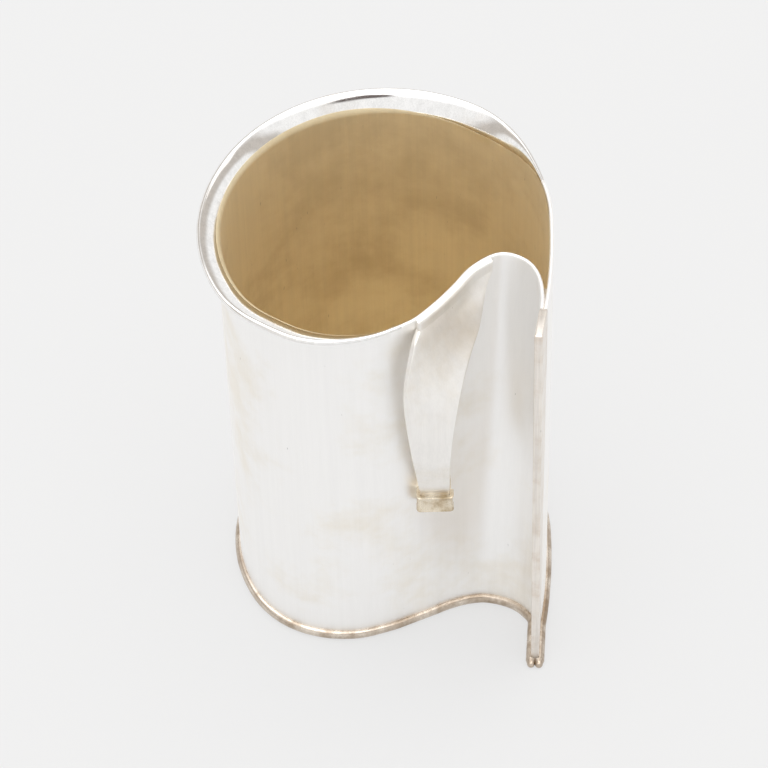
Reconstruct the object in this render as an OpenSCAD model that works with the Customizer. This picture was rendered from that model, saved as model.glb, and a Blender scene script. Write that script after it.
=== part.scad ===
// Silver water pitcher with a comma-shaped plan, a hollow for the hand and a soldered strap handle.
// Origin: middle of the bounding box, on the underside of the base. +Z is up, -Y is the front.

/* [Body] */
// Overall height from the table to the top of the rim
body_h = 159; // [120:1:220]
// Outer radius of the round head of the body
head_r = 52; // [48:0.5:58]
// Outer radius of the smaller front left shoulder
shoulder_r = 33; // [30:0.5:40]
// Outer radius of the long, nearly flat right side
side_r = 220; // [180:5:400]
// Thickness of the silver sheet
sheet_t = 1.1; // [0.8:0.1:1.2]
// Thickness of the gilt layer inside
gilt_t = 0.2; // [0.1:0.05:0.3]

/* [Base] */
// Thickness of the base plate
plate_t = 1.2; // [0.8:0.1:2]
// Radius of the half-round foot wire
wire_r = 1.75; // [1.2:0.05:2.5]

/* [Lip] */
// How far the lip flares out past the wall
lip_w = 4.8; // [2:0.1:6]
// How much further it flares out at the front left
lip_swell = 2.8; // [0:0.1:3]
// Height of the flared band
lip_h = 6.5; // [4:0.5:10]

/* [Handle] */
// Thickness of the strap
strap_t = 1.8; // [1.2:0.1:2.2]
// Height of the middle of the socket above the table
socket_z = 71; // [66:1:76]
// Height of the socket
socket_h = 7; // [5:0.5:8]
// Thickness of the socket's ring round the strap
socket_wall = 1.4; // [1:0.1:1.8]

/* [Hidden] */
$fn = 96;

// The head's arc runs from straight right (0 degrees) round the back to here
head_end = 207;
// The shoulder's arc carries on from there to here
shoulder_end = 235;
// The right side bends in by this angle on its way from the head to the fin
side_sweep = 10.5;
// Depth of the edge bar that closes the fin, at the rim and at the foot, where it bends in less
bar_l = 11.5;
foot_bar_l = 14.9;
foot_sweep = 5;
// Length of the round wire in front of the bar, and the radius that it narrows to
wire_tail = 1.2;
tip_r = 1.3;
// The lip starts at lip_start on the head's arc and grows over fade_in degrees
lip_start = 14;
fade_in = 45;
// It grows wider again over the front left, from swell_start over swell_in degrees
swell_start = 150;
swell_in = 75;
function smooth(k) = k <= 0 ? 0 : k >= 1 ? 1 : k * k * (3 - 2 * k);
function arc_width(a) = lip_w * smooth((a - lip_start) / fade_in) + lip_swell * smooth((a - swell_start) / swell_in);
// Middle of the round head, placed so that the whole pitcher is centred on the origin
front_reach = side_r * sin(side_sweep) + (foot_bar_l + wire_tail) * cos(foot_sweep) + tip_r;
head = [(arc_width(180) - wire_r) / 2, (front_reach - head_r - lip_w) / 2];
// Length of the flats that stand for an arc in the wire, the lip and the base plate
arc_flat = 3.2;
function arc_count(r, a0, a1) = ceil(abs(a1 - a0) * PI / 180 * r / arc_flat);

function dir(a) = [cos(a), sin(a)];
function unit(v) = v / norm(v);
function lerp(a, b, k) = a + (b - a) * k;
function last(v) = v[len(v) - 1];
// Turns a 2D direction to its right hand side
function right_of(v) = [v[1], -v[0]];

side_c = head + [head_r - side_r, 0];
shoulder_c = head + (head_r - shoulder_r) * dir(head_end);

// The fin: where the side sheet ends, the direction that the fin runs in, and its thickness
fin_t = 2 * (sheet_t + gilt_t);
fin_out = dir(-side_sweep);
fin_dir = [-sin(side_sweep), -cos(side_sweep)];
fin_joint = side_c + side_r * fin_out;
fin_inner = fin_joint - fin_t * fin_out;

// The recess sheet starts at the end of the shoulder and ends at the fin
recess_start = shoulder_c + shoulder_r * dir(shoulder_end);
// Points of the recess curve between them, at the foot and at the rim, from the head's middle
foot_marks = [[-25, -40.5], [-13, -41.5], [-2, -38.8], [5, -36], [12, -33], [18.5, -30.2],
              [25, -28.4], [31, -28.2], [38, -30.4], [43, -34.2]];
rim_marks = [[-25, -42.3], [-13, -46.2], [-2, -47], [7, -44], [14, -37.8], [20.5, -30.3],
             [27, -22], [35.2, -17.2], [42.6, -20.4], [46, -28]];

// Curve through the marks, as a Hermite spline with a given direction at each end
function through(marks) = concat([recess_start], [for (m = marks) head + m], [fin_inner]);
start_dir = [-sin(shoulder_end), cos(shoulder_end)];
function slope(p, i) =
    i == 0 ? start_dir * norm(p[1] - p[0])
    : i == len(p) - 1 ? fin_dir * norm(p[i] - p[i - 1])
    : (p[i + 1] - p[i - 1]) / 2;
function hermite(p, i, k) =
    let (a = p[i], b = p[i + 1], m = slope(p, i), n = slope(p, i + 1))
    (2 * k^3 - 3 * k^2 + 1) * a + (k^3 - 2 * k^2 + k) * m
    + (3 * k^2 - 2 * k^3) * b + (k^3 - k^2) * n;
per_span = 5;
function curve(marks) =
    let (p = through(marks))
    concat([for (i = [0 : len(p) - 2], s = [0 : per_span - 1]) hermite(p, i, s / per_span)], [last(p)]);

foot_curve = curve(foot_marks);
rim_curve = curve(rim_marks);
stations = len(foot_curve) - 1;
// The curve at a height is part way between the foot curve and the rim curve
function level(z) = let (k = z / body_h) [for (i = [0 : stations]) lerp(foot_curve[i], rim_curve[i], k)];
// Outward direction at a station of a level curve
function outward_at(c, i) =
    i == 0 ? dir(shoulder_end)
    : i == stations ? -fin_out
    : unit(right_of(c[i + 1] - c[i - 1]));
function outward(c) = [for (i = [0 : stations]) outward_at(c, i)];
// A level curve moved outwards by d, or inwards for a negative d, as 3D points at height z
function ring(z, d, from = 0, to = stations) =
    let (c = level(z), n = outward(c))
    [for (i = [from : to]) [each (c[i] + d * n[i]), z]];
// The same curve where each station has a height of its own
function at_station(i, z, d) =
    let (c = level(z)) [each (c[i] + d * outward_at(c, i)), z];

// Along the recess the lip dies away in width and height, from one station to another
fade_station = 4;
lip_station = 19;
lip_end_h = 0.4;
function lip_share(i) = 1 - smooth((i - fade_station) / (lip_station - fade_station));
function lip_depth(i) = i > lip_station ? 0 : lerp(lip_end_h, lip_h, lip_share(i));

// Heights at which the recess sheet is divided: the socket and the strap's seam lie between two
seam_h = 4;
seat_z0 = socket_z - 6;
seat_z1 = socket_z + 6;
full_z = 128;
recess_levels = [plate_t, 30, seat_z0, seat_z1, 100, full_z, body_h - 2 * lip_h, body_h - seam_h, body_h];
function level_at(i, z) =
    z <= full_z ? z : lerp(full_z, body_h - lip_depth(i), (z - full_z) / (body_h - full_z));

// Solid between two matching grids of points, front facing out and back facing in
module sheet_between(front, back) {
    rows = len(front);
    cols = len(front[0]);
    all_points = [each [for (r = front) each r], each [for (r = back) each r]];
    half = rows * cols;
    function f(r, c) = r * cols + c;
    function b(r, c) = half + r * cols + c;
    faces = [
        for (r = [0 : rows - 2], c = [0 : cols - 2]) each [
            [f(r, c), f(r + 1, c), f(r + 1, c + 1)], [f(r, c), f(r + 1, c + 1), f(r, c + 1)],
            [b(r, c), b(r + 1, c + 1), b(r + 1, c)], [b(r, c), b(r, c + 1), b(r + 1, c + 1)]],
        for (c = [0 : cols - 2]) each [
            [f(0, c), f(0, c + 1), b(0, c + 1)], [f(0, c), b(0, c + 1), b(0, c)],
            [f(rows - 1, c), b(rows - 1, c + 1), f(rows - 1, c + 1)],
            [f(rows - 1, c), b(rows - 1, c), b(rows - 1, c + 1)]],
        for (r = [0 : rows - 2]) each [
            [f(r, 0), b(r, 0), b(r + 1, 0)], [f(r, 0), b(r + 1, 0), f(r + 1, 0)],
            [f(r, cols - 1), b(r + 1, cols - 1), b(r, cols - 1)],
            [f(r, cols - 1), f(r + 1, cols - 1), b(r + 1, cols - 1)]]];
    polyhedron(all_points, faces);
}

// One offset of the recess sheet, as a grid of points from the foot up
function recess_grid(d) =
    [for (z = recess_levels) [for (i = [0 : stations]) at_station(i, level_at(i, z), d)]];

// Points along an arc of radius r, moved outwards by d, with or without the arc's last point
function arc_points(c, r, d, a0, a1, closed = false) =
    let (n = arc_count(r, a0, a1)) [for (i = [0 : closed ? n : n - 1]) c + (r + d) * dir(lerp(a0, a1, i / n))];
function reversed(v) = [for (i = [len(v) - 1 : -1 : 0]) v[i]];

// The outer sheet's line, from the fin round to the recess, and its stretch that is clear of the lip
function shell_line(d) = concat(
    arc_points(side_c, side_r, d, -side_sweep, 0),
    arc_points(head, head_r, d, 0, head_end),
    arc_points(shoulder_c, shoulder_r, d, head_end, shoulder_end, closed = true));
function plain_line(d) = concat(
    arc_points(side_c, side_r, d, -side_sweep, 0),
    arc_points(head, head_r, d, 0, lip_start, closed = true));

// The outer sheet's band, out from its outer face by d: low under the lip, full height past it
module shell_band(d, t) {
    lip_z = body_h - lip_h;
    translate([0, 0, plate_t]) linear_extrude(lip_z - plate_t)
        polygon(concat(shell_line(d), reversed(shell_line(d - t))));
    translate([0, 0, lip_z]) linear_extrude(lip_h)
        polygon(concat(plain_line(d), reversed(plain_line(d - t))));
}

module body_shell() {
    color("silver") shell_band(0, sheet_t);
}

module recess_wall() {
    color("gainsboro") sheet_between(recess_grid(0), recess_grid(-sheet_t));
}

module shell_gilding() {
    color("goldenrod") shell_band(-sheet_t, gilt_t);
}

module recess_gilding() {
    color("darkgoldenrod") sheet_between(recess_grid(-sheet_t), recess_grid(-sheet_t - gilt_t));
}

// Outline of the foot, inwards by d, which stops short of the fin by an angle and some stations
function foot_outline(d, short = 0, drop = 0) = concat(
    arc_points(side_c, side_r, -d, short - side_sweep, 0),
    arc_points(head, head_r, -d, 0, head_end),
    arc_points(shoulder_c, shoulder_r, -d, head_end, shoulder_end),
    [for (p = ring(plate_t, -d, 0, stations - drop)) [p[0], p[1]]]);

module base_plate() {
    color("lightgray") linear_extrude(plate_t) polygon(concat(foot_outline(0), [fin_joint]));
}

module floor_gilding() {
    color("gold") translate([0, 0, plate_t]) linear_extrude(gilt_t)
        polygon(foot_outline(sheet_t + 2 * gilt_t, 3, per_span));
}

// Offset of the flare's outer face at a share of its height, and the sheet's width measured level
flare_power = 1.9;
function flare(k) = k^flare_power;
function level_t(w, k) = sheet_t * sqrt(1 + (w * flare_power * k^(flare_power - 1) / lip_h)^2);
function recess_width(i) = (lip_w + lip_swell) * lip_share(i);
lip_rows = 7;

// One level of the lip, moved out from the wall's face by its flare, and by the sheet on the inside
function lip_offset(w, k, inside) = w * flare(k) - (inside ? level_t(w, k) : 0);
function lip_arc(c, r, a0, a1, k, inside, z) =
    let (n = arc_count(r, a0, a1))
    [for (i = [0 : n - 1]) let (a = lerp(a0, a1, i / n))
        [each (c + (r + lip_offset(arc_width(a), k, inside)) * dir(a)), z]];
function lip_recess(i, k, inside) =
    let (z = body_h - lip_depth(i) * (1 - k), c = level(z))
    [each (c[i] + lip_offset(recess_width(i), k, inside) * outward_at(c, i)), z];
function lip_level(k, inside) =
    let (z = body_h - lip_h * (1 - k)) concat(
    lip_arc(head, head_r, lip_start, head_end, k, inside, z),
    lip_arc(shoulder_c, shoulder_r, head_end, shoulder_end, k, inside, z),
    [for (i = [0 : lip_station]) lip_recess(i, k, inside)]);

module flared_lip() {
    levels = [for (i = [0 : lip_rows]) i / lip_rows];
    color("white") sheet_between([for (k = levels) lip_level(k, false)], [for (k = levels) lip_level(k, true)]);
}

// The foot wire is half-round, with its underside ground flat on the table
wire_z = wire_r - 0.25;
wire_levels = [0, plate_t, 1.8, 2.4, 2.8, 3.1, 3.2];
function wire_out(z) = sqrt(wire_r^2 - (z - wire_z)^2);
// Points of the fin's outer face, or d inside it, and k of the bar's depth forwards, at the foot or rim
function fin_point(sweep, l, d, k) = fin_joint - d * dir(-sweep) - k * l * [sin(sweep), cos(sweep)];
function fin_foot(d, k) = fin_point(foot_sweep, foot_bar_l, d, k);
function fin_rim(d, k) = fin_point(side_sweep, bar_l, d, k);

// One level of the wire: along the fin, the outer sheet and the recess, and along the fin again
function wire_row(z, d) = concat(
    [[each fin_foot(-d, 1), z]],
    [for (p = concat(arc_points(side_c, side_r, d, -side_sweep, 0), arc_points(head, head_r, d, 0, head_end),
                     arc_points(shoulder_c, shoulder_r, d, head_end, shoulder_end))) [each p, z]],
    [for (p = ring(max(z, plate_t), d)) [p[0], p[1], z]],
    [[each fin_foot(fin_t + d, 1), z]]);

module foot_wire() {
    color("tan") sheet_between(
        [for (z = wire_levels) wire_row(z, wire_out(z))], [for (z = wire_levels) wire_row(z, 0)]);
}

// The two ends of the wire, narrowing to a round nose, side by side in front of the fin
module wire_tips() {
    start = fin_foot(0, 1);
    color("sienna") translate([start[0], start[1], 0]) rotate([0, 0, -foot_sweep]) intersection() {
        for (x = [0, -fin_t]) translate([x, 0, wire_z]) {
            rotate([90, 0, 0]) cylinder(h = wire_tail, r1 = wire_r, r2 = tip_r);
            translate([0, -wire_tail, 0]) sphere(tip_r);
        }
        translate([-3 * fin_t, -3 * wire_r, 0]) cube([6 * fin_t, 3 * wire_r, 2 * wire_r]);
    }
}

module edge_bar() {
    function side(d) = [
        [[each fin_foot(d, 1), 0], [each fin_foot(d, 0), 0]],
        [[each fin_rim(d, 1), body_h], [each fin_rim(d, 0), body_h]]];
    color("wheat") sheet_between(side(0), side(fin_t));
}

// Depth at which the strap's back face stands in the socket, in front of the head's middle
socket_back = 40.6;
// The strap's left and right edges, from under its seam down to just above the socket
strap_from = 21;
strap_to = 38;
seam = ring(body_h - seam_h, 0, strap_from, strap_to);
left_marks = concat([seam[0]], [for (m = [[6.9, -46.6, 152.5], [6.1, -48.4, 149.5], [5.1, -50.3, 144.7],
    [4.3, -51.8, 139], [4.1, -52.8, 131], [4.9, -53, 121], [6.2, -51.2, 108], [7.4, -48.2, 95.5],
    [8.4, -44.4, 84], [9, -socket_back, socket_z + 5]]) [each (head + [m[0], m[1]]), m[2]]]);
right_marks = concat([last(seam)], [for (m = [[29.7, -22.6, 151.5], [28.6, -26.8, 148], [27, -33, 142.6],
    [23.9, -41, 137.4], [21.2, -48, 129.5], [19.4, -51, 117.5], [18.6, -50.2, 104], [18.4, -47.8, 94],
    [18.3, -44.4, 83.5], [18.3, -socket_back, socket_z + 5]]) [each (head + [m[0], m[1]]), m[2]]]);

function edge_slope(p, i) = (p[min(i + 1, len(p) - 1)] - p[max(i - 1, 0)]) / 2;
function edge_at(p, v) =
    let (i = min(floor(v), len(p) - 2), k = v - i, m = edge_slope(p, i), n = edge_slope(p, i + 1))
    (2 * k^3 - 3 * k^2 + 1) * p[i] + (k^3 - 2 * k^2 + k) * m
    + (3 * k^2 - 2 * k^3) * p[i + 1] + (k^3 - k^2) * n;

strap_cols = strap_to - strap_from;
strap_end = len(left_marks) - 1;
settle = 2.5;
// Near its seam the strap keeps the wall's curve, and lower down it is straight across
function seam_bulge(c) = seam[c] - lerp(seam[0], last(seam), c / strap_cols);
function strap_back(c, v) =
    lerp(edge_at(left_marks, v), edge_at(right_marks, v), c / strap_cols)
    + seam_bulge(c) * (1 - smooth(v / settle));
seam_out = outward(level(body_h - seam_h));
function strap_facing(c, v) =
    let (across = edge_at(right_marks, v) - edge_at(left_marks, v),
         down = strap_back(c, min(v + 0.2, strap_end)) - strap_back(c, max(v - 0.2, 0)),
         free = unit(cross(down, across)), wall = [each seam_out[strap_from + c], 0],
         foot = [0, -1, 0], k = smooth(v / settle), e = smooth(v - strap_end + 1))
    unit(lerp(lerp(wall, free, k), foot, e));
function strap_row(v, out) = [for (c = [0 : strap_cols]) strap_back(c, v) + out * strap_facing(c, v)];
function strap_grid(out) = concat(
    [[for (p = strap_row(strap_end, out)) [p[0], p[1], socket_z - socket_h / 2 + 1]]],
    [for (i = [2 * strap_end : -1 : 0]) strap_row(i / 2, out)],
    [ring(body_h, out, strap_from, strap_to)]);

module strap_handle() {
    color("lightsteelblue") sheet_between(strap_grid(strap_t), strap_grid(0));
}

module strap_socket() {
    left = left_marks[strap_end][0];
    right = right_marks[strap_end][0];
    front = head[1] - socket_back - strap_t;
    depth = 14;
    bottom = socket_z - socket_h / 2;
    color("peru") difference() {
        translate([0, 0, bottom]) linear_extrude(socket_h) union() {
            translate([left - socket_wall, front]) square([right - left + 2 * socket_wall, depth]);
            translate([left, front - socket_wall]) square([right - left, depth]);
            for (x = [left, right]) translate([x, front]) circle(socket_wall);
        }
        translate([left, front, bottom + 1]) cube([right - left, strap_t, socket_h]);
        sheet_between([for (z = [seat_z0, seat_z1]) ring(z, 0, 14, 34)],
                      [for (z = [seat_z0, seat_z1]) ring(z, -16, 14, 34)]);
    }
}

body_shell();
recess_wall();
flared_lip();
base_plate();
foot_wire();
wire_tips();
edge_bar();
strap_handle();
strap_socket();
shell_gilding();
recess_gilding();
floor_gilding();
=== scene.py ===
"""Polished silver water pitcher with a gilt inside, a comma-shaped body and a strap handle."""
import math

import bmesh
import bpy
import numpy as np
from mathutils import Matrix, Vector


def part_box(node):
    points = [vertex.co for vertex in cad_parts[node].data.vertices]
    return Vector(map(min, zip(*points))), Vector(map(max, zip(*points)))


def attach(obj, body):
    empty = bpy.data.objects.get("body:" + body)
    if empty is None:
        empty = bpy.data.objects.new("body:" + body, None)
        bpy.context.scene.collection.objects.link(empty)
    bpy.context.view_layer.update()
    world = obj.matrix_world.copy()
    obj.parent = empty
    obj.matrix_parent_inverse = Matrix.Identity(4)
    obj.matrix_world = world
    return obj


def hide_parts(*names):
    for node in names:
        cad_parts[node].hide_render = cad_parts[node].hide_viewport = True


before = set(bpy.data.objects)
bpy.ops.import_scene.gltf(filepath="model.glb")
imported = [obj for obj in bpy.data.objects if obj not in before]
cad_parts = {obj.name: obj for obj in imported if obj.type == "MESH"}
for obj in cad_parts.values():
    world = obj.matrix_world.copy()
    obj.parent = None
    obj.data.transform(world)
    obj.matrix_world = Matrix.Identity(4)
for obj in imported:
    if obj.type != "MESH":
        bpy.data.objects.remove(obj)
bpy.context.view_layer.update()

MM = 0.001


def corner(node, high):
    """A node's lowest or highest corner, in millimetres."""
    return np.array(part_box(node)[1 if high else 0]) / MM


# ---------------------------------------------------------------- sizes, in millimetres
HEAD_R = 52.0
SHOULDER_R = 33.0
SIDE_R = 220.0
HEAD_END, SHOULDER_END, SIDE_SWEEP = 207.0, 235.0, 10.5
RIM_Z = corner("edge_bar", True)[2]
PLATE = corner("base_plate", True)[2]
SHEET = 1.1
GILT = corner("floor_gilding", True)[2] - PLATE
WALL = SHEET + GILT
# The lip starts at LIP_START degrees on the head and grows over LIP_RISE, widens from SWELL_START
# over SWELL_RISE, and fades along the recess between the parameters LIP_FADE and LIP_STOP
LIP_H, EDGE_R, LIP_START, LIP_RISE = 6.5, 0.95, 14.0, 45.0
LIP_SWELL, SWELL_START, SWELL_RISE = 2.8, 150.0, 75.0
LIP_FADE, LIP_STOP = 0.8, 3.8
LIP_MARGIN = 0.03    # how far its edge stays inside the CAD's lip
LIP_W = corner("flared_lip", True)[1] - corner("body_shell", True)[1] - LIP_MARGIN
# Powers that say how the lip leans out with height, and how its height follows its width
LIP_POWER, DEPTH_POWER = 1.9, 0.6
# The gilding covers this share of the lip, reached over GILT_RISE degrees from GILT_START
LIP_GILT, GILT_START, GILT_RISE = 0.42, 40.0, 70.0
WIRE_R = 1.75
BAR_L, FOOT_BAR_L = 11.5, 14.9
FOOT_SWEEP = 5.0
TAIL_L, TIP_R = 1.2, 1.3
FOOT_MARKS = [(-25, -40.5), (-13, -41.5), (-2, -38.8), (5, -36), (12, -33), (18.5, -30.2),
              (25, -28.4), (31, -28.2), (38, -30.4), (43, -34.2)]
RIM_MARKS = [(-25, -42.3), (-13, -46.2), (-2, -47), (7, -44), (14, -37.8), (20.5, -30.3),
             (27, -22), (35.2, -17.2), (42.6, -20.4), (46, -28)]


# ---------------------------------------------------------------- curves in plan
HEAD = corner("body_shell", True)[:2] - HEAD_R


def heading(degrees):
    """Unit vectors at angles from +X."""
    a = np.radians(degrees)
    return np.stack([np.cos(a), np.sin(a)], -1)


def unit(v):
    """Vectors brought to length 1."""
    return v / np.linalg.norm(v, axis=-1, keepdims=True)


def smooth(k):
    """Rises from 0 to 1 as 3k^2 - 2k^3, held flat outside."""
    k = np.clip(k, 0.0, 1.0)
    return k * k * (3.0 - 2.0 * k)


def hermite(points, slopes, at):
    """Cubic through the points with the given slopes, and its derivative, at any parameters."""
    i = np.clip(np.floor(at).astype(int), 0, len(points) - 2)
    k = (at - i)[..., None]
    a, b, m, n = points[i], points[i + 1], slopes[i], slopes[i + 1]
    place = (2*k**3 - 3*k**2 + 1)*a + (k**3 - 2*k**2 + k)*m + (3*k**2 - 2*k**3)*b + (k**3 - k**2)*n
    rate = (6*k**2 - 6*k)*a + (3*k**2 - 4*k + 1)*m + (6*k - 6*k**2)*b + (3*k**2 - 2*k)*n
    return place, rate


SIDE_C = HEAD + [HEAD_R - SIDE_R, 0.0]
SHOULDER_C = HEAD + (HEAD_R - SHOULDER_R) * heading(HEAD_END)
FIN_OUT = heading(-SIDE_SWEEP)
FIN_DIR = np.array([FIN_OUT[1], -FIN_OUT[0]])
FIN_JOINT = SIDE_C + SIDE_R * FIN_OUT
FIN_T = 2.0 * WALL
SPANS = len(FOOT_MARKS) + 1


def recess_line(marks):
    """Points and slopes of the recess curve at one height, from the shoulder to the fin."""
    first = SHOULDER_C + SHOULDER_R * heading(SHOULDER_END)
    points = np.vstack([first, HEAD + np.array(marks), FIN_JOINT - FIN_T * FIN_OUT])
    slopes = np.empty_like(points)
    slopes[1:-1] = (points[2:] - points[:-2]) / 2.0
    slopes[0] = heading(SHOULDER_END + 90.0) * np.linalg.norm(points[1] - points[0])
    slopes[-1] = FIN_DIR * np.linalg.norm(points[-1] - points[-2])
    return points, slopes


FOOT_LINE = recess_line(FOOT_MARKS)
RIM_LINE = recess_line(RIM_MARKS)


class Path:
    """A line round the body: its points and directions at the foot and at the rim."""

    def __init__(self, foot, rim, foot_way, rim_way, turn, span):
        self.foot, self.rim, self.foot_way, self.rim_way = foot, rim, foot_way, rim_way
        self.turn = turn    # angle on the head and the shoulder in degrees, nan elsewhere
        self.span = span    # parameter along the recess, nan elsewhere

    def part(self, cut):
        """The stretch of the path in a slice."""
        return Path(*(v[cut] for v in (self.foot, self.rim, self.foot_way, self.rim_way,
                                       self.turn, self.span)))

    def joined(self, other):
        """This path followed by another."""
        pairs = zip(vars(self).values(), vars(other).values())
        return Path(*(np.concatenate(pair) for pair in pairs))

    def place(self, out, z):
        """Points at distance out from the outer face at height z: foot and rim lines are joined by
        straight lines, and out is measured square to the line at that height."""
        out, z, _ = np.broadcast_arrays(out, z, self.foot[:, 0])
        k = (z / RIM_Z)[..., None]
        base = self.foot + (self.rim - self.foot) * k
        way = unit(self.foot_way + (self.rim_way - self.foot_way) * k)
        away = np.stack([way[..., 1], -way[..., 0]], -1)
        return np.concatenate([base + out[..., None] * away, z[..., None]], -1)


def arc_path(centre, radius, a0, a1, count, has_lip=True):
    """Path along an upright arc, where foot and rim are the same."""
    a = np.linspace(a0, a1, count)
    p, way = centre + radius * heading(a), heading(a + 90.0)
    blank = np.full(count, np.nan)
    return Path(p, p, way, way, a if has_lip else blank, blank)


def recess_path(u):
    """Path along the recess, where the line changes from foot to rim."""
    foot, foot_way = hermite(*FOOT_LINE, u)
    rim, rim_way = hermite(*RIM_LINE, u)
    return Path(foot, rim, unit(foot_way), unit(rim_way), np.full(len(u), np.nan), u)


SIDE_PATH = arc_path(SIDE_C, SIDE_R, -SIDE_SWEEP, 0.0, 60, has_lip=False)
HEAD_PATH = arc_path(HEAD, HEAD_R, 0.0, HEAD_END, 300)
SHOULDER_PATH = arc_path(SHOULDER_C, SHOULDER_R, HEAD_END, SHOULDER_END, 30)
RECESS_PATH = recess_path(np.linspace(0.0, SPANS, 18 * SPANS + 1))
SHELL_PATH = SIDE_PATH.part(slice(0, -1)).joined(HEAD_PATH.part(slice(0, -1))).joined(SHOULDER_PATH)
BODY_PATH = SHELL_PATH.part(slice(0, -1)).joined(RECESS_PATH)


def lip_share(path):
    """How far the lip has grown at each station: up from nothing past its start on the head,
    full round the shoulder, and away to nothing along the recess."""
    share = np.where(path.turn >= 0, smooth((path.turn - LIP_START) / LIP_RISE), 0.0)
    return np.where(path.span >= 0, 1.0 - smooth((path.span - LIP_FADE) / (LIP_STOP - LIP_FADE)), share)


def lip_reach(path):
    """How far the lip flares out at each station: its share of the full width, and more at the
    front left."""
    swell = np.where(path.turn >= 0, smooth((path.turn - SWELL_START) / SWELL_RISE), 1.0)
    return np.maximum((LIP_W + LIP_SWELL * swell) * lip_share(path), 0.001)


def lip_depth(path):
    """Height of the lip's band at each station."""
    return LIP_H * lip_share(path) ** DEPTH_POWER


# ---------------------------------------------------------------- meshes
SHARP_ANGLE = math.radians(40.0)


def add_piece(name, points, faces, material, nodes):
    """Puts points in millimetres and faces into a smooth mesh with outward normals, on the body."""
    mesh = bpy.data.meshes.new(name)
    mesh.from_pydata((points * MM).tolist(), [], faces)
    mesh.validate()
    work = bmesh.new()
    work.from_mesh(mesh)
    bmesh.ops.recalc_face_normals(work, faces=work.faces)
    work.to_mesh(mesh)
    work.free()
    mesh.polygons.foreach_set("use_smooth", np.ones(len(mesh.polygons), bool))
    mesh.set_sharp_from_angle(angle=SHARP_ANGLE)
    mesh.materials.append(material)
    piece = bpy.data.objects.new(name, mesh)
    bpy.context.scene.collection.objects.link(piece)
    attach(piece, "root")
    if nodes:
        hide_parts(*nodes)


def tube_faces(rows, cols, start=0):
    """Faces of a grid whose rows close on themselves into a loop, with a cap on each end column."""
    r, c = np.meshgrid(np.arange(rows), np.arange(cols - 1), indexing="ij")
    nxt = (r + 1) % rows
    quads = np.stack([r * cols + c, r * cols + c + 1, nxt * cols + c + 1, nxt * cols + c], -1)
    ends = [[i * cols + c + start for i in range(rows)] for c in (0, cols - 1)]
    return (quads.reshape(-1, 4) + start).tolist() + ends


def tubes(name, grids, material, nodes):
    """One piece from several solids, each a grid of section loops."""
    faces, start = [], 0
    for grid in grids:
        faces += tube_faces(*grid.shape[:2], start=start)
        start += grid[..., 0].size
    points = np.concatenate([grid.reshape(-1, 3) for grid in grids])
    add_piece(name, points, faces, material, nodes)


def tube(name, grid, material, nodes):
    """A solid from a grid of section loops: axis 0 runs round the section, axis 1 along the path."""
    tubes(name, [grid], material, nodes)


def slab(name, outline, z0, z1, material, nodes):
    """A flat plate inside an outline, between the heights z0 and z1."""
    n = len(outline)
    rows = [np.column_stack([outline, np.full(n, z)]) for z in (z0, z1)]
    ring = [[i, (i + 1) % n, n + (i + 1) % n, n + i] for i in range(n)]
    caps = [list(range(n)), list(range(n, 2 * n))]
    add_piece(name, np.vstack(rows), ring + caps, material, nodes)


def column(values):
    """Values down a column, to spread along the path."""
    return np.asarray(values, float)[:, None]


# ---------------------------------------------------------------- materials
def node_group(name, inputs, outputs):
    """An empty shader node group with named sockets."""
    group = bpy.data.node_groups.new(name, "ShaderNodeTree")
    for label, kind, value in inputs:
        socket = group.interface.new_socket(label, in_out="INPUT", socket_type=kind)
        if value is not None:
            socket.default_value = value
    for label, kind in outputs:
        group.interface.new_socket(label, in_out="OUTPUT", socket_type=kind)
    return group, group.nodes.new("NodeGroupInput"), group.nodes.new("NodeGroupOutput")


def feed(tree, socket, value):
    """Links a socket to another one, or sets its value."""
    if isinstance(value, bpy.types.NodeSocket):
        tree.links.new(value, socket)
    else:
        socket.default_value = value


def add(tree, kind, links=None, **settings):
    """A node with its settings, and its inputs linked or set by name or number."""
    node = tree.nodes.new(kind)
    for key, value in settings.items():
        setattr(node, key, value)
    for key, value in (links or {}).items():
        feed(tree, node.inputs[key], value)
    return node


def math_node(tree, operation, a, b=None, clamp=False):
    """The output of a Math node."""
    links = {0: a} if b is None else {0: a, 1: b}
    return add(tree, "ShaderNodeMath", links, operation=operation, use_clamp=clamp).outputs[0]


def remap(tree, value, low, high, to_low=0.0, to_high=1.0):
    """value moved smoothly from one range to another, held at its ends."""
    links = {"Value": value, "From Min": low, "From Max": high, "To Min": to_low, "To Max": to_high}
    return add(tree, "ShaderNodeMapRange", links, interpolation_type="SMOOTHSTEP").outputs[0]


def noise(tree, vector, scale, detail=4.0, roughness=0.55):
    """The value of a Noise texture."""
    links = {"Vector": vector, "Scale": scale, "Detail": detail, "Roughness": roughness}
    return add(tree, "ShaderNodeTexNoise", links).outputs["Fac"]


def mix_colour(tree, first, second, share):
    """The first colour changed into the second by a share. Each is a colour or a socket."""
    mix = add(tree, "ShaderNodeMix", {"Factor": share}, data_type="RGBA")
    for socket, colour in zip([s for s in mix.inputs if s.type == "RGBA"], (first, second)):
        feed(tree, socket, colour)
    return [s for s in mix.outputs if s.type == "RGBA"][0]


def stretched(tree, vector, scale, turn=(0.0, 0.0, 0.0)):
    """A vector turned and then scaled along each axis."""
    turned = add(tree, "ShaderNodeMapping", {"Vector": vector, "Rotation": turn}).outputs[0]
    return add(tree, "ShaderNodeMapping", {"Vector": turned, "Scale": scale}).outputs[0]


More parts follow.
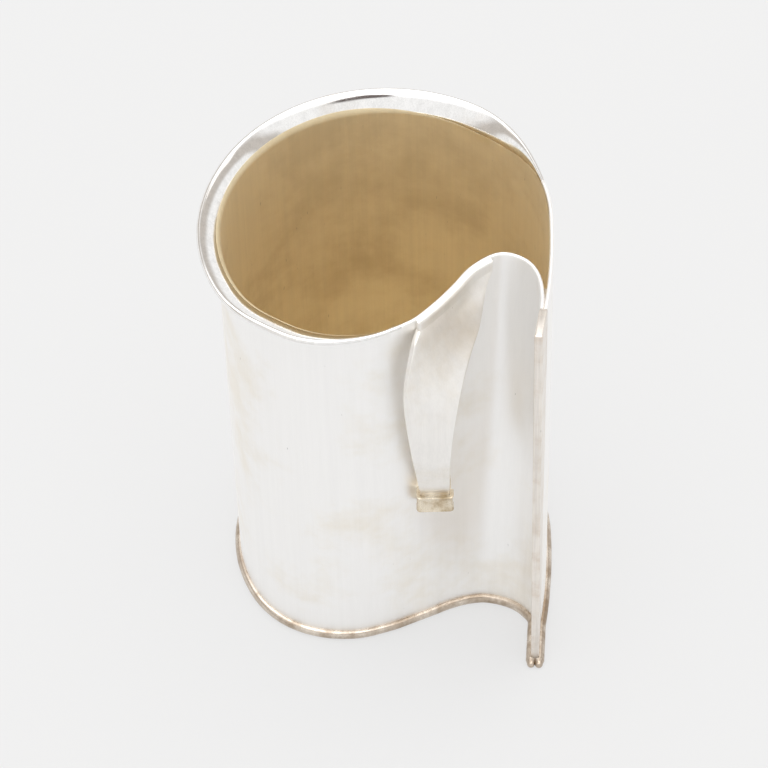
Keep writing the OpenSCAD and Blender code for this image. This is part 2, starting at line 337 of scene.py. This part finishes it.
def build_wear():
    """Fine polishing lines in two directions: a height for bump and a mask of the deeper ones."""
    group, given, made = node_group(
        "polishing_lines",
        [("Vector", "NodeSocketVector", None), ("Amount", "NodeSocketFloat", 0.5)],
        [("Height", "NodeSocketFloat"), ("Mask", "NodeSocketFloat")])
    where, amount = given.outputs["Vector"], given.outputs["Amount"]
    upright = noise(group, stretched(group, where, (1400, 1400, 60)), 1.0, 3.0)
    slant = noise(group, stretched(group, where, (70, 1700, 1700), (0.6, 0.3, 0.5)), 1.0, 2.0)
    both = math_node(group, "ADD", math_node(group, "MULTIPLY", upright, 0.6),
                     math_node(group, "MULTIPLY", slant, 0.4))
    height = math_node(group, "MULTIPLY", both, amount)
    mask = math_node(group, "MULTIPLY", remap(group, slant, 0.66, 0.76), amount, clamp=True)
    group.links.new(height, made.inputs["Height"])
    group.links.new(mask, made.inputs["Mask"])
    return group


def build_blotch():
    """Cloudy stains of two sizes: a mask from 0 to 1."""
    group, given, made = node_group(
        "cloudy_stain",
        [("Vector", "NodeSocketVector", None), ("Size", "NodeSocketFloat", 60.0),
         ("Start", "NodeSocketFloat", 0.45), ("End", "NodeSocketFloat", 0.75)],
        [("Mask", "NodeSocketFloat")])
    broad = noise(group, given.outputs["Vector"], given.outputs["Size"], 3.0, 0.5)
    fine_size = math_node(group, "MULTIPLY", given.outputs["Size"], 5.0)
    fine = noise(group, given.outputs["Vector"], fine_size, 5.0, 0.65)
    both = math_node(group, "ADD", math_node(group, "MULTIPLY", broad, 0.75),
                     math_node(group, "MULTIPLY", fine, 0.25))
    mask = remap(group, both, given.outputs["Start"], given.outputs["End"])
    group.links.new(mask, made.inputs["Mask"])
    return group


def build_nicks():
    """Sparse short upright nicks and pits: a mask from 0 to 1."""
    group, given, made = node_group(
        "nicks", [("Vector", "NodeSocketVector", None), ("Start", "NodeSocketFloat", 0.74)],
        [("Mask", "NodeSocketFloat")])
    tick = noise(group, stretched(group, given.outputs["Vector"], (1900, 1900, 260)), 1.0, 1.0, 0.3)
    area = noise(group, given.outputs["Vector"], 95.0, 2.0)
    both = math_node(group, "ADD", tick, math_node(group, "MULTIPLY", area, 0.22))
    end = math_node(group, "ADD", given.outputs["Start"], 0.05)
    group.links.new(remap(group, both, given.outputs["Start"], end), made.inputs["Mask"])
    return group


WEAR = build_wear()
NICKS = build_nicks()
BLOTCH = build_blotch()


def stain_mask(tree, where, span, size, at_foot):
    """Mask of the cloudy stains, with more stain in the lowest few millimetres if at_foot is set."""
    links = {"Vector": where, "Size": size, "Start": span[0], "End": span[1]}
    mask = add(tree, "ShaderNodeGroup", links, node_tree=BLOTCH).outputs["Mask"]
    if at_foot:
        height = add(tree, "ShaderNodeSeparateXYZ", {0: where}).outputs["Z"]
        mask = math_node(tree, "MAXIMUM", mask, remap(tree, height, 0.0, 0.007, at_foot, 0.0))
    return mask


def shade_of(tree, where, streaks, nicks, nick_depth):
    """Brightness over the surface: upright drawn streaks of two widths, and dark nicks."""
    specks = add(tree, "ShaderNodeGroup", {"Vector": where, "Start": nicks}, node_tree=NICKS)
    broad = noise(tree, stretched(tree, where, (520, 520, 9)), 1.0, 3.0)
    fine = noise(tree, stretched(tree, where, (2600, 2600, 45)), 1.0, 2.0)
    drawn = math_node(tree, "ADD", broad, math_node(tree, "MULTIPLY", fine, 0.7))
    shade = remap(tree, drawn, 0.55, 1.15, 1.0 - streaks, 1.0)
    dark = math_node(tree, "MULTIPLY", specks.outputs["Mask"], nick_depth)
    return math_node(tree, "SUBTRACT", shade, dark)


def relief(tree, where, lines_height, dents):
    """Normal of the surface: fine polishing lines over broad, shallow dents."""
    fine = add(tree, "ShaderNodeBump", {"Height": lines_height, "Strength": 0.35, "Distance": 0.00002})
    broad = noise(tree, stretched(tree, where, (1.0, 1.0, 0.45)), 42.0, 2.0)
    return add(tree, "ShaderNodeBump", {"Height": broad, "Strength": dents, "Distance": 0.0006,
                                        "Normal": fine.outputs[0]}).outputs[0]


def metal(name, colour, stain, rough, lines=0.4, stain_span=(0.5, 0.8), stain_size=45.0,
          stain_rough=0.15, dents=0.25, foot_stain=0.0, metallic=1.0, streaks=0.12, nicks=0.94,
          nick_depth=0.45):
    """Metal with cloudy stains, fine polishing lines and a slightly uneven, hand-worked surface."""
    material = bpy.data.materials.new(name)
    material.use_nodes = True
    tree = material.node_tree
    shader = tree.nodes["Principled BSDF"]
    where = add(tree, "ShaderNodeTexCoord").outputs["Object"]
    mask = stain_mask(tree, where, stain_span, stain_size, foot_stain)
    tint = mix_colour(tree, (*colour, 1.0), (*stain, 1.0), mask)
    shade = shade_of(tree, where, streaks, nicks, nick_depth)
    toned = add(tree, "ShaderNodeVectorMath", {0: tint, "Scale": shade}, operation="SCALE").outputs[0]
    wear = add(tree, "ShaderNodeGroup", {"Vector": where, "Amount": lines}, node_tree=WEAR).outputs
    haze = math_node(tree, "MULTIPLY", mask, stain_rough)
    scuff = math_node(tree, "MULTIPLY", wear["Mask"], 0.12)
    roughness = math_node(tree, "ADD", math_node(tree, "ADD", haze, scuff), rough, clamp=True)
    feed(tree, shader.inputs["Metallic"], metallic)
    feed(tree, shader.inputs["Base Color"], toned)
    feed(tree, shader.inputs["Roughness"], roughness)
    feed(tree, shader.inputs["Normal"], relief(tree, where, wear["Height"], dents))
    return material


SILVER = metal("polished_silver", (0.975, 0.967, 0.955), (0.92, 0.885, 0.82), 0.42, foot_stain=0.5,
               streaks=0.025, stain_span=(0.46, 0.72), stain_size=32.0)
LIP_SILVER = metal("lip_silver", (0.94, 0.93, 0.915), (0.86, 0.81, 0.75), 0.10, lines=0.4, dents=0.5)
STRAP_SILVER = metal("strap_silver", (0.94, 0.92, 0.89), (0.86, 0.81, 0.73), 0.36, stain_span=(0.42, 0.75),
                     streaks=0.06)
WIRE_SILVER = metal("foot_wire_silver", (0.74, 0.66, 0.57), (0.36, 0.27, 0.19), 0.24,
                    stain_span=(0.36, 0.66), stain_size=110.0)
BAR_SILVER = metal("edge_bar_silver", (0.91, 0.86, 0.80), (0.80, 0.71, 0.62), 0.30,
                   stain_span=(0.40, 0.78), stain_size=160.0, streaks=0.15)
SOLDER = metal("solder_silver", (0.88, 0.84, 0.78), (0.62, 0.54, 0.45), 0.3, stain_span=(0.4, 0.66),
               stain_size=180.0)
GILDING = metal("satin_gilding", (0.925, 0.83, 0.615), (0.78, 0.67, 0.46), 0.5, lines=1.0,
                stain_span=(0.40, 0.68), stain_size=34.0, stain_rough=0.12, dents=0.3, metallic=0.75,
                streaks=0.05, nicks=0.90, nick_depth=0.35)
SOCKET_GILT = metal("worn_gilt", (0.86, 0.77, 0.62), (0.50, 0.38, 0.23), 0.26,
                    stain_span=(0.40, 0.66), stain_size=190.0)


# ---------------------------------------------------------------- body
def sheet_loop(path):
    """Section of the wall sheet at each station: up the outer face, over the top edge and down
    inside. Past the lip the top edge is a round bead as thick as the sheet and its gilding."""
    plain = 1.0 - smooth(lip_share(path) * 12.0)    # 1 past the lip, 0 under it
    bead = WALL / 2.0 * plain
    bead_z = RIM_Z - lip_depth(path) - bead
    up = column(np.linspace(0.0, 1.0, 40) ** 0.9)
    outer_z = PLATE + (bead_z - PLATE) * up
    turn = column(np.radians(np.linspace(0.0, 180.0, 11))[1:-1])
    width = SHEET + GILT * plain
    nose_out = -width / 2.0 + width / 2.0 * np.cos(turn)
    nose_z = bead_z + bead * np.sin(turn)
    # Inside, a small step back from the bead to the sheet's own face, and then straight down
    sheet_out = np.full_like(width, -SHEET)
    inner_out = np.vstack([-width, -width, sheet_out, sheet_out])
    inner_z = np.vstack([bead_z, bead_z - 0.25, bead_z - 0.35, np.full_like(bead_z, PLATE)])
    out = np.concatenate([np.zeros_like(outer_z), nose_out, inner_out])
    z = np.concatenate([outer_z, nose_z, inner_z])
    return path.place(out, z)


def lip_face(path, k, side):
    """Point of the lip's outer face (side 1), middle (0) or inner face (-1) at share k of its height:
    the middle leans out as a power of k, and the sheet thickens towards a round edge."""
    edge = WALL / 2.0 + (EDGE_R - WALL / 2.0) * lip_share(path)
    half = WALL / 2.0 + (edge - WALL / 2.0) * smooth(k * 1.6 - 0.6)
    depth = np.maximum(lip_depth(path), EDGE_R)
    reach, rise = lip_reach(path), depth - edge
    middle, z = -half + reach * k**LIP_POWER, RIM_Z - depth + rise * k
    lean = reach * LIP_POWER * k ** (LIP_POWER - 1.0)
    length = np.hypot(lean, rise)
    return middle + side * half * rise / length, z - side * half * lean / length


def gilding_loop(path):
    """Section of the gilding: a thin layer on the inside of the sheet, which runs on over the lower
    part of the lip's inner face, and stops under the bead where there is no lip."""
    skin, steps = 0.04, np.arange(10)
    height = LIP_GILT * np.where(path.turn >= 0, smooth((path.turn - GILT_START) / GILT_RISE), 1.0)
    lip_out, lip_z = lip_face(path, column(steps / 9.0) * height, -1)
    foot_z = lip_z[0]
    up = column(np.linspace(0.0, 1.0, 36)[:-1])
    straight = PLATE + (foot_z - PLATE) * up
    lip_out = lip_out - skin * smooth(column(steps) / 3.0)
    face = np.concatenate([np.full_like(straight, -WALL), lip_out])
    z = np.concatenate([straight, lip_z])
    back = face + GILT
    return path.place(np.concatenate([face, back[::-1]]), np.concatenate([z, z[::-1]]))


def lip_loop(path):
    """Section of the lip: up its outer face, round its edge and down its inner face."""
    k = column(np.linspace(0.0, 1.0, 26))
    outer, inner = lip_face(path, k, 1), lip_face(path, k, -1)
    # The edge turns half round its middle, from the outer face to the inner one
    tip = np.ones((1, 1))
    (middle_out, middle_z), (edge_out, edge_z) = lip_face(path, tip, 0), lip_face(path, tip, 1)
    arm_out, arm_z = edge_out - middle_out, edge_z - middle_z
    turn = column(np.radians(np.linspace(0.0, 180.0, 15))[1:-1])
    nose_out = middle_out + arm_out * np.cos(turn) - arm_z * np.sin(turn)
    nose_z = middle_z + arm_z * np.cos(turn) + arm_out * np.sin(turn)
    out = np.concatenate([outer[0], nose_out, inner[0][::-1]])
    z = np.concatenate([outer[1], nose_z, inner[1][::-1]])
    return path.place(out, z)


LIP_AT = np.flatnonzero(lip_share(BODY_PATH) > 0.002)
LIP_PATH = BODY_PATH.part(slice(LIP_AT[0], LIP_AT[-1] + 1))

tube("body_sheet", sheet_loop(SHELL_PATH), SILVER, ["body_shell"])
tube("recess_sheet", sheet_loop(RECESS_PATH), SILVER, ["recess_wall"])
tube("lip_band", lip_loop(LIP_PATH), LIP_SILVER, ["flared_lip"])
tube("body_gilding", gilding_loop(SHELL_PATH), GILDING, ["shell_gilding"])
tube("front_gilding", gilding_loop(RECESS_PATH), GILDING, ["recess_gilding"])


def foot_outline(inset, side_from=0, recess_to=None):
    """Outline of the foot, moved inwards."""
    path = SHELL_PATH.part(slice(side_from, -1)).joined(RECESS_PATH.part(slice(0, recess_to)))
    return path.place(-inset, PLATE)[:, :2]


slab("base_sheet", np.vstack([foot_outline(0.0), FIN_JOINT]), 0.0, PLATE, SILVER,
     ["base_plate"])
slab("floor_gilt", foot_outline(WALL + 0.05, 18, -18), PLATE, PLATE + GILT, GILDING,
     ["floor_gilding"])


# ---------------------------------------------------------------- foot wire, its ends and the edge bar
def fin_path(side):
    """The fin's straight face, from the body to its front edge: side 0 is the right, 1 the left."""
    out = heading(-FOOT_SWEEP)
    ahead = np.array([out[1], -out[0]])
    p = FIN_JOINT - side * FIN_T * out + np.linspace(0.0, FOOT_BAR_L, 8)[:, None] * ahead
    p, way = (p, np.tile(ahead, (8, 1))) if side else (p[::-1], np.tile(-ahead, (8, 1)))
    blank = np.full(8, np.nan)
    return Path(p, p, way, way, blank, blank)


WIRE_Z = WIRE_R - 0.25
WIRE_PATH = fin_path(0).part(slice(0, -1)).joined(BODY_PATH).joined(fin_path(1).part(slice(1, None)))


def wire_loop(path):
    """Section of the half-round wire, ground flat underneath."""
    turn = column(np.radians(np.linspace(-58.0, 86.0, 20)))
    out = np.concatenate([WIRE_R * np.cos(turn), column([0.0, 0.0])])
    z = np.concatenate([WIRE_Z + WIRE_R * np.sin(turn), column([WIRE_Z + WIRE_R * 0.99, 0.0])])
    return path.place(out, np.maximum(z, 0.0))


def fin_points(across, along, z):
    """Points from coordinates across the fin (outwards), along it (forwards) and up. The fin's
    heading turns evenly from the foot to the rim."""
    across, along, z = np.broadcast_arrays(across, along, z)
    out = heading(-FOOT_SWEEP - (SIDE_SWEEP - FOOT_SWEEP) * z / RIM_Z)
    ahead = np.stack([out[..., 1], -out[..., 0]], -1)
    flat = FIN_JOINT + across[..., None] * out + along[..., None] * ahead
    return np.concatenate([flat, z[..., None]], -1)


tube("foot_wire_rod", wire_loop(WIRE_PATH), WIRE_SILVER, ["foot_wire"])


def wire_ends():
    """The wire's two ends: each a rod that narrows to a round nose, flat where it meets the table."""
    turn = column(np.radians(np.arange(24) * 15.0))
    nose = np.radians(np.linspace(0.0, 88.0, 12))
    along = np.concatenate([np.linspace(0.0, TAIL_L, 6), TAIL_L + TIP_R * np.sin(nose[1:])])
    radius = np.concatenate([np.linspace(WIRE_R, TIP_R, 6), TIP_R * np.cos(nose[1:])])
    middle = np.concatenate([np.linspace(WIRE_Z, TIP_R - 0.15, 6), np.full(11, TIP_R - 0.15)])
    grids = []
    for across in (0.0, -FIN_T):
        x = across + radius * np.cos(turn)
        z = np.maximum(middle + radius * np.sin(turn), 0.0)
        grids.append(fin_points(x, FOOT_BAR_L + along, z))
    tubes("foot_wire_ends", grids, WIRE_SILVER, ["wire_tips"])


wire_ends()


def rounded_rectangle(width, depth, radius, steps=6):
    """Points round a rectangle from (0, 0) to (width, depth) with round corners."""
    a = np.radians(np.linspace(0.0, 90.0, steps))
    corners = [(width - radius, depth - radius, 0.0), (radius, depth - radius, 90.0),
               (radius, radius, 180.0), (width - radius, radius, 270.0)]
    return np.concatenate([np.column_stack([x + radius * np.cos(a + math.radians(t)),
                                            y + radius * np.sin(a + math.radians(t))])
                           for x, y, t in corners])


def edge_bar():
    """The upright strip: a rounded rectangle carried up the fin, a little deeper towards the foot,
    its edges softened at the top."""
    loop = rounded_rectangle(FIN_T, BAR_L, 0.45)
    mid = np.array([FIN_T, BAR_L]) / 2.0
    soft, turn = 0.5, np.radians([30, 60, 90])
    z = np.concatenate([np.linspace(0.0, RIM_Z - soft, 60), RIM_Z - soft + soft * np.sin(turn)])
    ease = np.concatenate([np.zeros(60), soft * (1.0 - np.cos(turn))])
    shrink = 1.0 - ease / column(mid)
    across = mid[0] + (loop[:, 0:1] - mid[0]) * shrink[0]
    along = mid[1] + (loop[:, 1:2] - mid[1]) * shrink[1]
    along = along + (loop[:, 1:2] > mid[1]) * (FOOT_BAR_L - BAR_L) * (1.0 - z / RIM_Z)
    return fin_points(across - FIN_T, along, z)


def fin_solder():
    """Solder that fills the narrow end of the mouth, where the two sheets run together: a block
    between their inner faces, its top a shallow trough below the rim."""
    stations, depth = 16, 8.0
    reach = np.linspace(0.0, 1.0, stations)
    inner = RECESS_PATH.part(slice(-stations, None))
    left = inner.place(-SHEET, RIM_Z)[::-1, :2]
    a = np.degrees(np.arcsin(np.clip(-(left[:, 1] - SIDE_C[1]) / (SIDE_R - SHEET), -1.0, 1.0)))
    right = SIDE_C + (SIDE_R - SHEET) * heading(-a)
    across = np.linspace(0.0, 1.0, 9)
    flat = left[:, None] + (right - left)[:, None] * across[None, :, None]
    dip = np.sin(np.pi * across)[None, :] * reach[:, None]
    sag = 0.35 + 0.6 * dip + 1.5 * smooth(reach[:, None] * 2.0 - 1.0)
    top = np.concatenate([flat, (RIM_Z - sag)[..., None]], -1)
    low = np.concatenate([flat, np.full_like(sag, RIM_Z - depth)[..., None]], -1)
    loop = np.concatenate([top, low[:, ::-1]], 1)
    return np.swapaxes(loop, 0, 1)


tube("edge_bar_strip", edge_bar(), BAR_SILVER, ["edge_bar"])
tube("fin_solder", fin_solder(), SOLDER, [])


# ---------------------------------------------------------------- strap handle and its socket
STRAP_T = 1.8
SOCKET_H, SOCKET_WALL = 7.0, 1.4
SOCKET_Z = (corner("strap_socket", True)[2] + corner("strap_socket", False)[2]) / 2.0
SOCKET_BACK = 40.6
STRAP_LEFT, STRAP_RIGHT = 9.0, 18.3    # its edges in the socket, from the head's middle
SEAM_H = 4.0
SEAM_SPAN = (4.2, 7.6)
LEFT_MARKS = [(6.9, -46.6, 152.5), (6.1, -48.4, 149.5), (5.1, -50.3, 144.7), (4.3, -51.8, 139),
              (4.1, -52.8, 131), (4.9, -53, 121), (6.2, -51.2, 108), (7.4, -48.2, 95.5), (8.4, -44.4, 84),
              (STRAP_LEFT, -SOCKET_BACK, SOCKET_Z + 5)]
RIGHT_MARKS = [(29.7, -22.6, 151.5), (28.6, -26.8, 148), (27, -33, 142.6), (23.9, -41, 137.4),
               (21.2, -48, 129.5), (19.4, -51, 117.5), (18.6, -50.2, 104), (18.4, -47.8, 94),
               (18.3, -44.4, 83.5), (STRAP_RIGHT, -SOCKET_BACK, SOCKET_Z + 5)]


def edge_line(first, marks):
    """Points and slopes of one edge of the strap, from its seam down."""
    points = np.vstack([first, np.array(marks, float) + [*HEAD, 0.0]])
    slopes = np.empty_like(points)
    slopes[1:-1] = (points[2:] - points[:-2]) / 2.0
    slopes[0], slopes[-1] = (points[1] - points[0]) / 2.0, (points[-1] - points[-2]) / 2.0
    return points, slopes


def wall_at(u, out, z):
    """Points near the recess wall at parameters u."""
    out, z = np.broadcast_to(out, u.shape).ravel(), np.broadcast_to(z, u.shape).ravel()
    return recess_path(u.ravel()).place(out, z).reshape(*u.shape, 3)


def along_seam(share):
    """Parameter on the recess at a share of the seam's length."""
    return SEAM_SPAN[0] + (SEAM_SPAN[1] - SEAM_SPAN[0]) * share


def strap():
    """The strap: each cross row runs straight from the left edge line to the right one, and near the
    seam takes the wall's own curve. A rounded section is laid on each row."""
    seam_z = RIM_Z - SEAM_H
    ends = wall_at(np.array(SEAM_SPAN), 0.0, seam_z)
    left, right = edge_line(ends[0], LEFT_MARKS), edge_line(ends[1], RIGHT_MARKS)
    last = float(len(LEFT_MARKS))
    v = np.linspace(0.0, last, 110)
    width = np.linalg.norm(hermite(*right, v)[0] - hermite(*left, v)[0], axis=-1)
    edge = 0.4     # radius of its edges
    blend = 2.5    # edge marks over which it leaves the wall's curve
    span = np.linspace(0.0, 1.0, 26)
    a = np.radians([0.0, 30.0, 60.0, 90.0])
    # One loop of the section: share across, distance in from that edge, and share of the thickness
    over = [(s, 0.0, STRAP_T) for s in span[1:-1]]
    under = [(s, 0.0, 0.0) for s in span[-2:0:-1]]
    right_side = [(1.0, -edge + edge * math.sin(t), STRAP_T - edge + edge * math.cos(t)) for t in a]
    right_side += [(1.0, -edge + edge * math.cos(t), edge - edge * math.sin(t)) for t in a]
    left_side = [(0.0, edge - edge * math.sin(t), edge - edge * math.cos(t)) for t in a]
    left_side += [(0.0, edge - edge * math.cos(t), STRAP_T - edge + edge * math.sin(t)) for t in a]
    loop = np.array(over + right_side + under + left_side)
    share = loop[:, 0:1] + loop[:, 1:2] / width

    def back(s, at):
        """Points of the back face at share s across and parameter at along the edge lines."""
        l, r = hermite(*left, at)[0], hermite(*right, at)[0]
        u = along_seam(s)
        chord = ends[0] + (ends[1] - ends[0]) * s[..., None]
        bulge = wall_at(u, 0.0, seam_z) - chord
        return l + (r - l) * s[..., None] + bulge * (1.0 - smooth(at / blend))[..., None]

    at = np.broadcast_to(v, share.shape)
    here = back(share, at)
    down = back(share, np.minimum(at + 0.1, last)) - back(share, np.maximum(at - 0.1, 0.0))
    across = hermite(*right, v)[0] - hermite(*left, v)[0]
    free = unit(np.cross(down, np.broadcast_to(across, down.shape)))
    u = along_seam(share)
    wall = wall_at(u, 1.0, seam_z) - wall_at(u, 0.0, seam_z)
    k, e = smooth(at / blend)[..., None], smooth(at - last + 1.0)[..., None]
    face = wall + (free - wall) * k
    face = unit(face + (np.array([0.0, -1.0, 0.0]) - face) * e)
    rows = here + loop[:, 2:3, None] * face
    # Above: up the wall to the rim, its outer corner rounded. Below: straight down into the socket
    rise = np.linspace(0.0, 1.0, 12)[:0:-1]
    z = seam_z + SEAM_H * rise
    crown = 1.2
    low = np.clip((z - (RIM_Z - crown)) / crown, 0.0, 1.0)
    cut = crown * (1.0 - np.sqrt(1.0 - low**2))
    s_top = np.broadcast_to(loop[:, 0:1] + loop[:, 1:2] / width[0], (len(loop), len(z)))
    top = wall_at(along_seam(s_top), np.minimum(loop[:, 2:3], STRAP_T - cut), z)
    foot = rows[:, -1:].copy()
    foot[..., 2] = SOCKET_Z - SOCKET_H / 2.0 + 1.0
    return np.concatenate([top, rows, foot], 1)


tube("strap", strap(), STRAP_SILVER, ["strap_handle"])


def socket():
    """The socket: a band with a rolled edge above and below, bent round the strap in a U, and the
    block of solder that joins it to the wall."""
    x0, x1 = STRAP_LEFT + HEAD[0], STRAP_RIGHT + HEAD[0]
    front, back = HEAD[1] - SOCKET_BACK - STRAP_T, HEAD[1] - SOCKET_BACK + 0.6
    a = np.radians(np.linspace(0.0, 90.0, 9))
    way = [(x0, y, -1.0, 0.0) for y in np.linspace(back, front, 5)[:-1]]
    way += [(x0, front, -math.cos(t), -math.sin(t)) for t in a]
    way += [(x, front, 0.0, -1.0) for x in np.linspace(x0, x1, 14)[1:-1]]
    way += [(x1, front, math.sin(t), -math.cos(t)) for t in a]
    way += [(x1, y, 1.0, 0.0) for y in np.linspace(front, back, 5)[1:]]
    way = np.array(way)
    turn = np.radians(np.linspace(-90.0, 90.0, 40))
    height = SOCKET_H / 2.0 * np.sin(turn)
    swell = 0.62 + 0.38 * np.abs(np.sin(turn)) ** 2.5
    outer = SOCKET_WALL * swell * np.minimum(1.0, np.cos(turn) * 3.0) ** 0.5
    out = column(np.concatenate([outer, np.zeros(10)]))
    inside = np.linspace(1, -1, 10) * SOCKET_H / 2.0 * 0.98
    z = column(SOCKET_Z + np.concatenate([height, inside]))
    x, y = way[:, 0] + out * way[:, 2], way[:, 1] + out * way[:, 3]
    grid = np.stack(np.broadcast_arrays(x, y, z), -1)
    # The block behind, from the strap's back face to the wall
    u = np.linspace(4.15, 5.9, 16)
    levels = SOCKET_Z + SOCKET_H / 2.0 * np.linspace(-0.94, 0.94, 6)
    wall = np.stack([wall_at(u, 0.0, z0) for z0 in levels])
    keep = np.clip(wall[..., 0], x0 - SOCKET_WALL * 0.8, x1 + SOCKET_WALL * 0.8)
    face = np.stack([keep, np.full_like(keep, HEAD[1] - SOCKET_BACK), wall[..., 2]], -1)
    block = np.concatenate([wall, face[::-1]])
    block[..., 0] = np.concatenate([keep, keep[::-1]])
    tubes("socket_band", [grid, block], SOCKET_GILT, ["strap_socket"])


socket()


# ---------------------------------------------------------------- camera, floor and light
def place_object(name, data, axes, place):
    """Links an object to the scene at a place in metres, with its three axes given."""
    thing = bpy.data.objects.new(name, data)
    world = np.eye(4)
    world[:3] = np.column_stack([*axes, place])
    thing.matrix_world = Matrix(world.tolist())
    bpy.context.scene.collection.objects.link(thing)
    return thing


def camera():
    """Long lens, looking down on the front of the pitcher."""
    distance, elevation, yaw, roll = 1.1659, 49.285, -0.067, -1.689
    aim = np.array([HEAD[0] - 0.69, HEAD[1] - 0.70, 80.9]) * MM
    e, y, t = (math.radians(v) for v in (elevation, yaw, roll))
    ahead = np.array([math.sin(y) * math.cos(e), math.cos(y) * math.cos(e), -math.sin(e)])
    right = np.array([math.cos(y), -math.sin(y), 0.0])
    up = np.cross(right, ahead)
    x_axis = right * math.cos(t) + up * math.sin(t)
    y_axis = up * math.cos(t) - right * math.sin(t)
    data = bpy.data.cameras.new("camera")
    data.sensor_width = 36.0
    data.lens = 168.75
    place = aim - distance * np.array([0.0, math.cos(e), -math.sin(e)])
    bpy.context.scene.camera = place_object("camera", data, (x_axis, y_axis, -ahead), place)


def floor():
    """A large pale floor: matt white acrylic, softly lit from below."""
    half = 4.0
    corners = [(-half, -half, 0), (half, -half, 0), (half, half, 0), (-half, half, 0)]
    mesh = bpy.data.meshes.new("floor")
    mesh.from_pydata(corners, [], [(0, 1, 2, 3)])
    material = bpy.data.materials.new("pale_floor")
    material.use_nodes = True
    shader = material.node_tree.nodes["Principled BSDF"]
    shader.inputs["Base Color"].default_value = (0.165, 0.165, 0.165, 1.0)
    shader.inputs["Emission Color"].default_value = (1.0, 1.0, 1.0, 1.0)
    shader.inputs["Emission Strength"].default_value = 0.62
    shader.inputs["Roughness"].default_value = 0.6
    shader.inputs["Specular IOR Level"].default_value = 0.2
    mesh.materials.append(material)
    ground = bpy.data.objects.new("floor", mesh)
    bpy.context.scene.collection.objects.link(ground)


WHITE, WARM_GREY, DARK = (1.0, 1.0, 1.0, 1.0), (0.60, 0.56, 0.52, 1.0), (0.10, 0.08, 0.075, 1.0)
GREY_BAND = (0.24, 0.36, 0.62, 0.80)    # heights where the grey starts, is full, ends, and is gone
STREAK_UP = math.radians(52.0)
STREAK_X, STREAK_WIDE, STREAK_TALL = 0.145, 0.30, 0.13


def grey_band(tree, parts):
    """White with a warm grey band at half height, which is pushed down and out of the front."""
    front = math_node(tree, "MAXIMUM", math_node(tree, "MULTIPLY", parts["Y"], -1.0), 0.0)
    ramp = add(tree, "ShaderNodeValToRGB", {0: math_node(tree, "ADD", parts["Z"], front)})
    stops = ramp.color_ramp.elements
    stops[0].position, stops[0].color = GREY_BAND[0], WHITE
    stops[1].position, stops[1].color = GREY_BAND[3], WHITE
    for position in GREY_BAND[1:3]:
        stops.new(position).color = WARM_GREY
    return ramp.outputs[0]


def streak_mask(tree, way, parts):
    """Mask of one dark patch in front above: an ellipse with a rough edge."""
    e = STREAK_UP
    lift = add(tree, "ShaderNodeVectorMath", {0: way, 1: (0.0, math.sin(e), math.cos(e))},
               operation="DOT_PRODUCT").outputs["Value"]
    ahead = add(tree, "ShaderNodeVectorMath", {0: way, 1: (0.0, -math.cos(e), math.sin(e))},
                operation="DOT_PRODUCT").outputs["Value"]
    wide = math_node(tree, "DIVIDE", math_node(tree, "ADD", parts["X"], -STREAK_X), STREAK_WIDE)
    tall = math_node(tree, "DIVIDE", lift, STREAK_TALL)
    far = math_node(tree, "ADD", math_node(tree, "MULTIPLY", wide, wide),
                    math_node(tree, "MULTIPLY", tall, tall))
    patch = remap(tree, math_node(tree, "ADD", far, noise(tree, way, 14.0, 3.0)), 1.7, 0.9)
    return math_node(tree, "MULTIPLY", patch, math_node(tree, "GREATER_THAN", ahead, 0.0))


def world_light():
    """Soft light from all round: a bright ceiling, a warm grey band half way up behind, and one
    dark patch in front above. The polished lip picks up both."""
    world = bpy.data.worlds.new("studio")
    bpy.context.scene.world = world
    world.use_nodes = True
    tree = world.node_tree
    way = add(tree, "ShaderNodeTexCoord").outputs["Generated"]
    parts = add(tree, "ShaderNodeSeparateXYZ", {0: way}).outputs
    colour = mix_colour(tree, grey_band(tree, parts), DARK, streak_mask(tree, way, parts))
    sky = tree.nodes["Background"].inputs
    feed(tree, sky["Color"], colour)
    feed(tree, sky["Strength"], remap(tree, parts["Z"], 0.7, 0.97, 1.0, 2.9))


def soft_box(name, place, size, power):
    """A large square lamp aimed at the pitcher."""
    data = bpy.data.lights.new(name, "AREA")
    data.shape, data.size, data.energy = "SQUARE", size, power
    spot = np.array(place)
    back = spot / np.linalg.norm(spot)
    side = unit(np.cross([0.0, 0.0, 1.0], back))
    place_object(name, data, (side, np.cross(back, side), back), spot)


camera()
floor()
world_light()
soft_box("left_box", (-1.2, 0.6, 1.7), 1.0, 2.0)
soft_box("right_box", (1.2, 0.7, 1.6), 0.8, 1.5)
cycles = bpy.context.scene.cycles
cycles.max_bounces, cycles.glossy_bounces, cycles.diffuse_bounces = 16, 16, 8
bpy.context.scene.view_settings.view_transform = "Standard"
